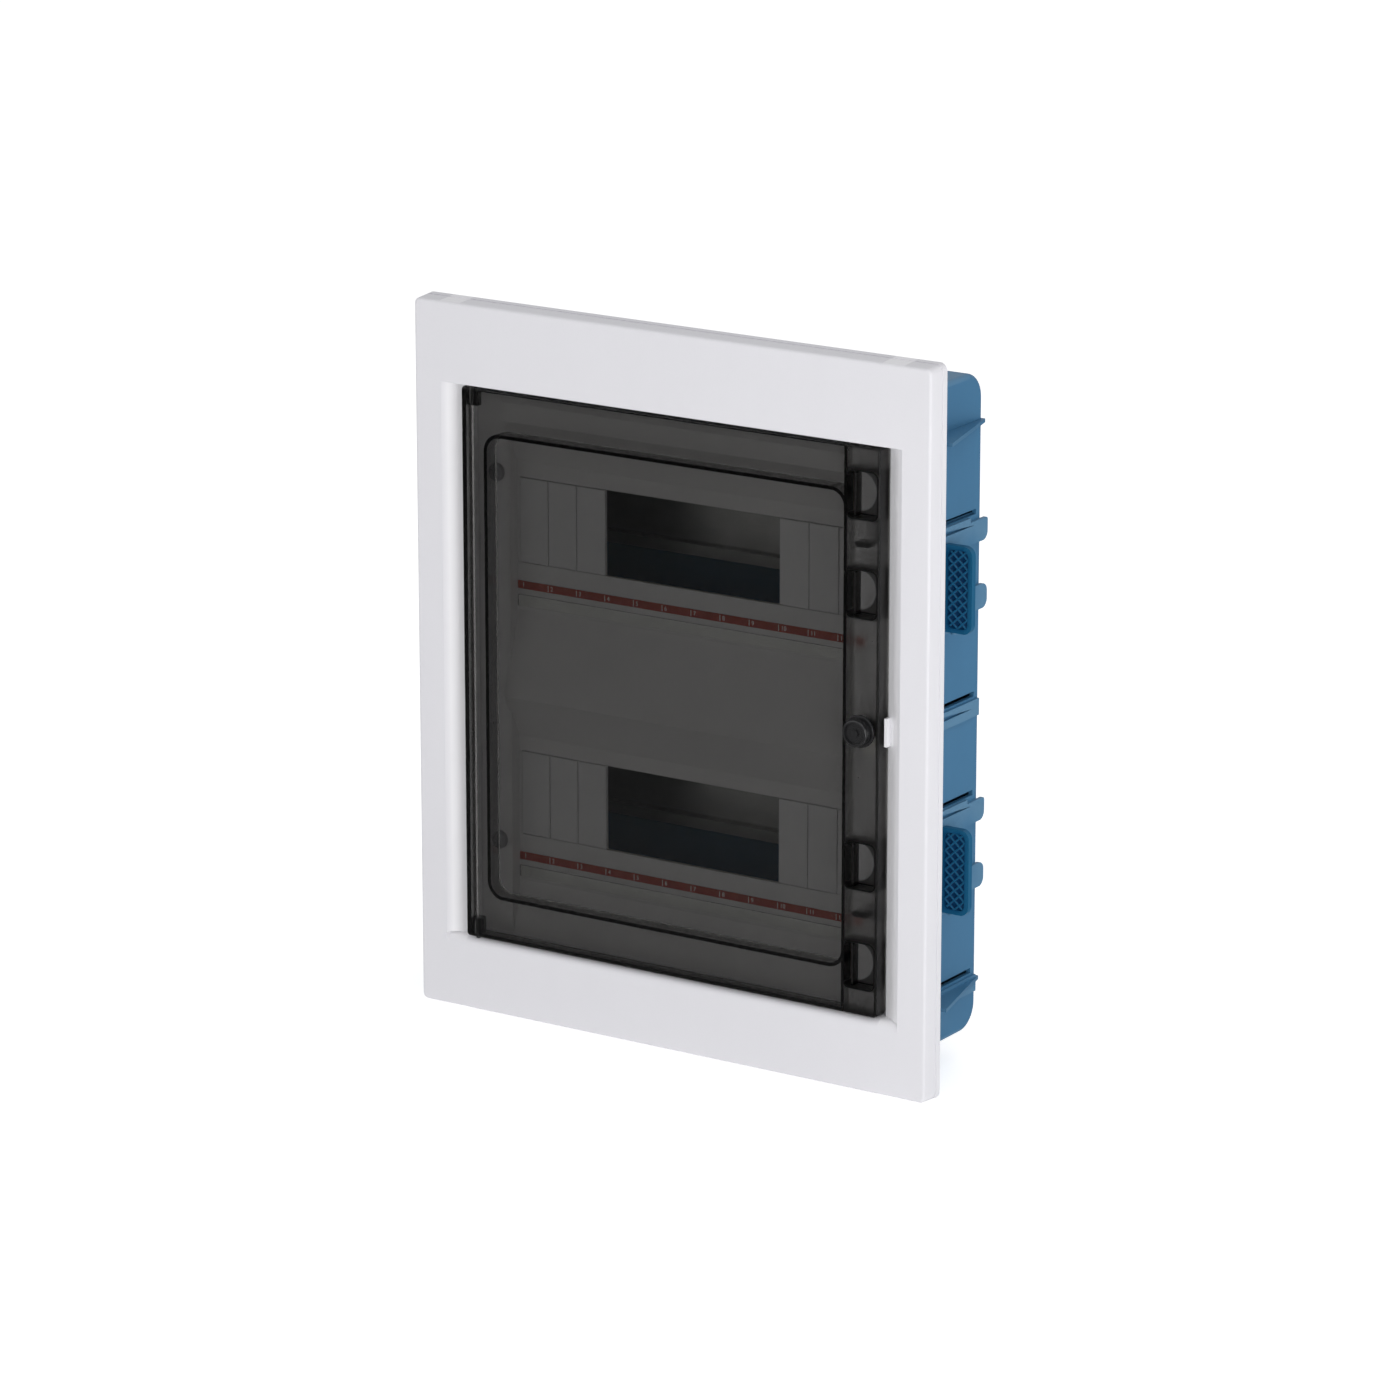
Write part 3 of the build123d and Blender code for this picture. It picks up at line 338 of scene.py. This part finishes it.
BLUE = (0.051, 0.180, 0.330)
# painted shade: the box's inside is coloured a darker blue for the shade that falls into it
SHADED_INSIDE_BLUE = (0.020, 0.075, 0.140)
# painted shade: the paddles take the box's blue darkened for the shade behind the trim
PADDLE_SHADED_BLUE = (0.003, 0.068, 0.170)
# painted light: the lighter blue of the tread's rib tops; the tread's own darker blue is painted
# shade in its cells
TREAD_LIT_TONE = (0.014, 0.120, 0.240)
TREAD_DEPTHS = (26.7 * MM, 27.2 * MM)    # of the ribs' tops and the floor between them
# painted light: the trim's scoops beside the door are coloured whiter than the trim, to look as
# lit as its front
TRIM_SCOOP_LIT_WHITE = (0.95, 0.945, 0.965)
UNLIMITED = 1.0                 # further away than any face of the object, in metres
LOOKS = {
    "box_blue": moulded("box_blue", BLUE, 0.42, spread=0.05, flow=0.4, edge=(0.13, 0.27, 0.40),
                        hollow=(0.0, 137.0 * MM, 173.4 * MM, 63.4 * MM, SHADED_INSIDE_BLUE)),
    "anchor_blue": moulded("anchor_blue", PADDLE_SHADED_BLUE, 0.40, spread=0.08, level=0.12,
                           edge=(0.02, 0.15, 0.27)),
    "tread_lit_shaded_blue": moulded("tread_lit_shaded_blue", (0.002, 0.036, 0.105), 0.42, spread=0.08, level=0.15,
                          relief=(*TREAD_DEPTHS, TREAD_LIT_TONE)),
    "blanking_grey": moulded("blanking_grey", (0.68, 0.68, 0.69), 0.5, spread=0.03),
    "screw_grey": moulded("screw_grey", (0.30, 0.30, 0.31), 0.42, spread=0.06),
    "rail_steel": metal("rail_steel", (0.34, 0.34, 0.33), 0.36, brushed=(0.05, 1.0, 1.0)),
    "strip_orange": moulded("strip_orange", (0.36, 0.065, 0.040), 0.5, spread=0.08),
    "card_white": moulded("card_white", (0.82, 0.82, 0.80), 0.7, grain=700.0, spread=0.03),
    "clear_window": clear_plastic("clear_window", (0.9, 0.92, 0.92), 40.0, 0.05, 1.45),
    "screw_steel": metal("screw_steel", (0.60, 0.60, 0.58), 0.28),
    "brass": metal("brass", (0.78, 0.56, 0.25), 0.26, brushed=(0.06, 1.0, 1.0)),
    "carrier_blue": moulded("carrier_blue", (0.03, 0.10, 0.38), 0.45),
    "carrier_green": moulded("carrier_green", (0.05, 0.26, 0.09), 0.45),
    "cover_grey": moulded("cover_grey", (0.66, 0.655, 0.66), 0.48, spread=0.03, flow=0.3),
    "trim_white": moulded("trim_white", (0.80, 0.795, 0.825), 0.40, spread=0.012, flow=0.35,
                          grain_depth=0.000012,
                          hollow=(129.8 * MM, 141.6 * MM, UNLIMITED, UNLIMITED,
                                  TRIM_SCOOP_LIT_WHITE)),
    "smoked_window": clear_plastic("smoked_window", (0.45, 0.447, 0.44), 640.0, 0.02, 1.35,
                                   frosted_from=108.8 * MM, side_from=128.3 * MM),
    "knob_black": moulded("knob_black", (0.012, 0.012, 0.013), 0.24, spread=0.2, level=0.6),
    "cam_steel": metal("cam_steel", (0.55, 0.55, 0.52), 0.34),
}

SLOT_OF = {
    "wall_box": "box_blue", "anchor_base": "box_blue", "anchor_paddle": "anchor_blue",
    "anchor_pins": "screw_steel", "module_rail": "rail_steel", "rail_screws": "screw_steel",
    "neutral_carrier": "carrier_blue", "earth_carrier": "carrier_green",
    "neutral_bar": "brass", "earth_bar": "brass",
    "neutral_clamp_screws": "screw_steel", "earth_clamp_screws": "screw_steel",
    "inner_cover": "cover_grey", "blanking_plate": "blanking_grey",
    "number_strip": "strip_orange", "label_card": "card_white", "label_window": "clear_window",
    "cover_screw": "screw_grey", "front_frame": "trim_white", "door_pivot_pins": "knob_black",
    "door": "smoked_window", "latch_collar": "knob_black", "latch_knob": "knob_black",
    "latch_cam": "cam_steel", "latch_screw": "screw_steel",
}
for name, node in NODES.items():
    key = max((k for k in SLOT_OF if name.startswith(k)), key=len)
    node.data.materials.clear()
    node.data.materials.append(LOOKS[SLOT_OF[key]])


# ---------------------------------------------------------------- new pieces
ROW_NAMES = ("upper", "lower")
SIDES = (("left", -1), ("right", 1))


def new_object(name, data, material):
    obj = bpy.data.objects.new(name, data)
    bpy.context.scene.collection.objects.link(obj)
    data.materials.append(material)
    return obj


def mesh_from(bm, name):
    mesh = bpy.data.meshes.new(name)
    bm.to_mesh(mesh)
    bm.free()
    return mesh


def piece(name, data, material, body):
    obj = new_object(name, data, LOOKS[material])
    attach(obj, body)
    return obj


def rounded_inset(x, z, low, high, radius):
    """How far a point is inside a rounded rectangle, in metres; below 0 outside."""
    half = ((high[0] - low[0]) / 2, (high[1] - low[1]) / 2)
    dx = abs(x - (low[0] + high[0]) / 2) - (half[0] - radius)
    dz = abs(z - (low[1] + high[1]) / 2) - (half[1] - radius)
    outside = math.hypot(max(dx, 0.0), max(dz, 0.0))
    return radius - (outside if max(dx, dz) > 0 else max(dx, dz))


TREAD_CELL = (5.8 * MM, 5.2 * MM)
TREAD_DEPTH = 0.8 * MM          # depth of the paddle's recess that the tread stands in
TREAD_RISE = 0.75 * MM
TREAD_SUNK = 0.3 * MM           # how far the tread's underside goes into the paddle
TREAD_GAP = 0.02 * MM           # from the recess's floor to the tread's lowest surface
TREAD_RIB = 0.17                # half width of a rib, as a part of the cell
TREAD_FLANK = 0.6               # the part of that half width that slopes
TREAD_STEPS = 16                # grid steps to a cell
TREAD_CORNER = 3.0 * MM
TREAD_BORDER = 2.5 * MM         # plain rim of the paddle at its tip, top and bottom
TREAD_WIDTH = 11.8 * MM


def tread(name, body, front, low, high):
    """Diamond tread on a paddle's front face: crossed ribs, on a grid that follows them."""
    step = (TREAD_CELL[0] / TREAD_STEPS, TREAD_CELL[1] / TREAD_STEPS)
    count = [round((high[i] - low[i]) / step[i]) for i in (0, 1)]
    step = [(high[i] - low[i]) / count[i] for i in (0, 1)]
    floor_y = front + TREAD_DEPTH
    bm = bmesh.new()
    grid = []
    for i in range(count[0] + 1):
        row = []
        for j in range(count[1] + 1):
            x, z = low[0] + i * step[0], low[1] + j * step[1]
            u = ((i + j) / TREAD_STEPS) % 1.0
            v = ((i - j) / TREAD_STEPS) % 1.0
            near = min(min(u, 1 - u), min(v, 1 - v))
            rise = max(0.0, min(1.0, (TREAD_RIB - near) / (TREAD_RIB * TREAD_FLANK))) * TREAD_RISE
            if rounded_inset(x, z, low, high, TREAD_CORNER) < 0:
                rise = -TREAD_SUNK / 2
            row.append((bm.verts.new((x, floor_y - TREAD_GAP - rise, z)), rise))
        grid.append(row)
    under = [[bm.verts.new((a[0].co.x, floor_y + TREAD_SUNK, a[0].co.z)) for a in row]
             for row in grid]

    def quad(a, b, c, d):
        bm.faces.new((a, b, c, d))

    for i in range(count[0]):
        for j in range(count[1]):
            a, b, c, d = grid[i][j], grid[i + 1][j], grid[i + 1][j + 1], grid[i][j + 1]
            if a[1] + c[1] >= b[1] + d[1]:
                bm.faces.new((a[0], b[0], c[0]))
                bm.faces.new((a[0], c[0], d[0]))
            else:
                bm.faces.new((a[0], b[0], d[0]))
                bm.faces.new((b[0], c[0], d[0]))
            quad(under[i][j], under[i][j + 1], under[i + 1][j + 1], under[i + 1][j])
    ring = ([(i, 0) for i in range(count[0])] + [(count[0], j) for j in range(count[1])]
            + [(i, count[1]) for i in range(count[0], 0, -1)]
            + [(0, j) for j in range(count[1], 0, -1)])
    for (i, j), (k, m) in zip(ring, ring[1:] + ring[:1]):
        quad(grid[i][j][0], under[i][j], under[k][m], grid[k][m][0])
    bmesh.ops.recalc_face_normals(bm, faces=bm.faces)
    piece(name, mesh_from(bm, name), "tread_lit_shaded_blue", body)


for row in ROW_NAMES:
    for side_name, side in SIDES:
        paddle = f"anchor_paddle_{row}_{side_name}"
        low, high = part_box(paddle)
        tip = high.x if side > 0 else low.x
        edges = sorted((tip - side * TREAD_BORDER, tip - side * (TREAD_BORDER + TREAD_WIDTH)))
        tread(f"tread_{row}_{side_name}", f"{paddle}_body", low.y,
              (edges[0], low.z + TREAD_BORDER), (edges[1], high.z - TREAD_BORDER))


def box_in(bm, low, high):
    made = bmesh.ops.create_cube(bm, size=1.0)["verts"]
    size = [b - a for a, b in zip(low, high)]
    middle = [(a + b) / 2 for a, b in zip(low, high)]
    for v in made:
        v.co = Vector([v.co[i] * size[i] + middle[i] for i in range(3)])


MODULE = 18.0 * MM
MODULES = 12
TICK_SHIFT = -0.4 * MM
TICK_HALF = 0.2 * MM
TICK_MARGIN = 0.5 * MM          # from a tick's ends to the strip's edges
TICK_DEPTHS = (-0.06 * MM, 0.02 * MM)
DIGIT_SIZE = 3.4 * MM
DIGIT_EXTRUDE = 0.03 * MM
DIGIT_DEPTH = -0.02 * MM
DIGIT_SHIFT = -8.0 * MM         # from a module's middle to its number's left edge
for row in ROW_NAMES:
    low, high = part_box(f"number_strip_{row}")
    middle = (low.z + high.z) / 2
    bm = bmesh.new()
    for n in range(1, MODULES + 1):
        x = (n - MODULES / 2) * MODULE + TICK_SHIFT
        box_in(bm, (x - TICK_HALF, low.y + TICK_DEPTHS[0], low.z + TICK_MARGIN),
               (x + TICK_HALF, low.y + TICK_DEPTHS[1], high.z - TICK_MARGIN))
    name = f"module_ticks_{row}"
    piece(name, mesh_from(bm, name), "card_white", "housing")
    for n in range(1, MODULES + 1):
        name = f"digit_{row}_{n}"
        curve = bpy.data.curves.new(name, "FONT")
        curve.body = str(n)
        curve.size = DIGIT_SIZE
        curve.extrude = DIGIT_EXTRUDE
        curve.align_x, curve.align_y = "LEFT", "CENTER"
        text = piece(name, curve, "card_white", "housing")
        text.location = ((n - (MODULES + 1) / 2) * MODULE + DIGIT_SHIFT, low.y + DIGIT_DEPTH,
                         middle)
        text.rotation_euler = (math.pi / 2, 0, 0)

# ---------------------------------------------------------------- floor and light
FLOOR_GAP = 0.0004              # below the object's lowest point
FLOOR_HALF = 25.0
FLOOR_GLOW = (0.36, 0.62)       # for the object, and as the camera sees it

floor_tree = Tree("floor_pale")
floor_tone = floor_tree.ramp(floor_tree.noise(3.0, 3.0, 0.5),
                             [(0.3, (0.90, 0.90, 0.90)), (0.7, (0.94, 0.94, 0.94))])
floor_p = floor_tree.principled(Roughness=0.9, Specular_IOR_Level=0.1)
floor_seen = floor_tree.add("ShaderNodeLightPath").outputs["Is Camera Ray"]
floor_tree.link(floor_tree.span(floor_seen, *FLOOR_GLOW), floor_p.inputs["Emission Strength"])
floor_tree.link(floor_tone, floor_p.inputs["Base Color"])
floor_tree.link(floor_tone, floor_p.inputs["Emission Color"])
bm = bmesh.new()
bmesh.ops.create_grid(bm, x_segments=4, y_segments=4, size=FLOOR_HALF)
floor = new_object("floor", mesh_from(bm, "floor"), floor_tree.material)
floor.location = (0, 0, CAD_BOX[0].z - FLOOR_GAP)
floor.visible_glossy = False

# the camera sees plain white; everything else sees a sky with a dark band below the horizon
SKY_HEIGHTS = (-0.35, 0.25)
SKY_TONES = ((0.0, (0.28, 0.28, 0.285, 1)), (0.22, (0.05, 0.05, 0.052, 1)),
             (1.0, (0.55, 0.55, 0.56, 1)))
world = bpy.data.worlds.new("studio")
bpy.context.scene.world = world
world.use_nodes = True
world_tree = world.node_tree
world_tree.nodes.clear()
sky, soft, ray, direction, parts, height, tone, pick, world_out = [
    world_tree.nodes.new("ShaderNode" + kind) for kind in (
        "Background", "Background", "LightPath", "TexCoord", "SeparateXYZ", "MapRange",
        "ValToRGB", "MixShader", "OutputWorld")]
sky.inputs["Color"].default_value = (*WHITE, 1.0)
sky.inputs["Strength"].default_value = 1.0
soft.inputs["Strength"].default_value = 1.0
height.inputs["From Min"].default_value, height.inputs["From Max"].default_value = SKY_HEIGHTS
tone.color_ramp.elements.new(0.5)
for element, (at, colour) in zip(tone.color_ramp.elements, SKY_TONES):
    element.position, element.color = at, colour
for a, b in ((direction.outputs["Generated"], parts.inputs[0]),
             (parts.outputs["Z"], height.inputs["Value"]),
             (height.outputs["Result"], tone.inputs["Fac"]),
             (tone.outputs["Color"], soft.inputs["Color"]),
             (ray.outputs["Is Camera Ray"], pick.inputs[0]),
             (soft.outputs[0], pick.inputs[1]),
             (sky.outputs[0], pick.inputs[2]),
             (pick.outputs[0], world_out.inputs["Surface"])):
    world_tree.links.new(a, b)


# name, place, side in metres, power in watts
LAMPS = (("key", (1.12, -0.74, -0.06), 0.8, 7.5),
         ("fill", (-1.2, -1.9, 0.35), 1.4, 3.6),
         ("top", (0.9, -0.3, 1.8), 1.0, 4.5))
for name, place, side, power in LAMPS:
    data = bpy.data.lights.new(name, "AREA")
    data.shape, data.size, data.energy = "SQUARE", side, power
    lamp = bpy.data.objects.new(name, data)
    bpy.context.scene.collection.objects.link(lamp)
    lamp.location = place
    lamp.rotation_mode = "QUATERNION"
    lamp.rotation_quaternion = (-Vector(place)).to_track_quat("-Z", "Y")
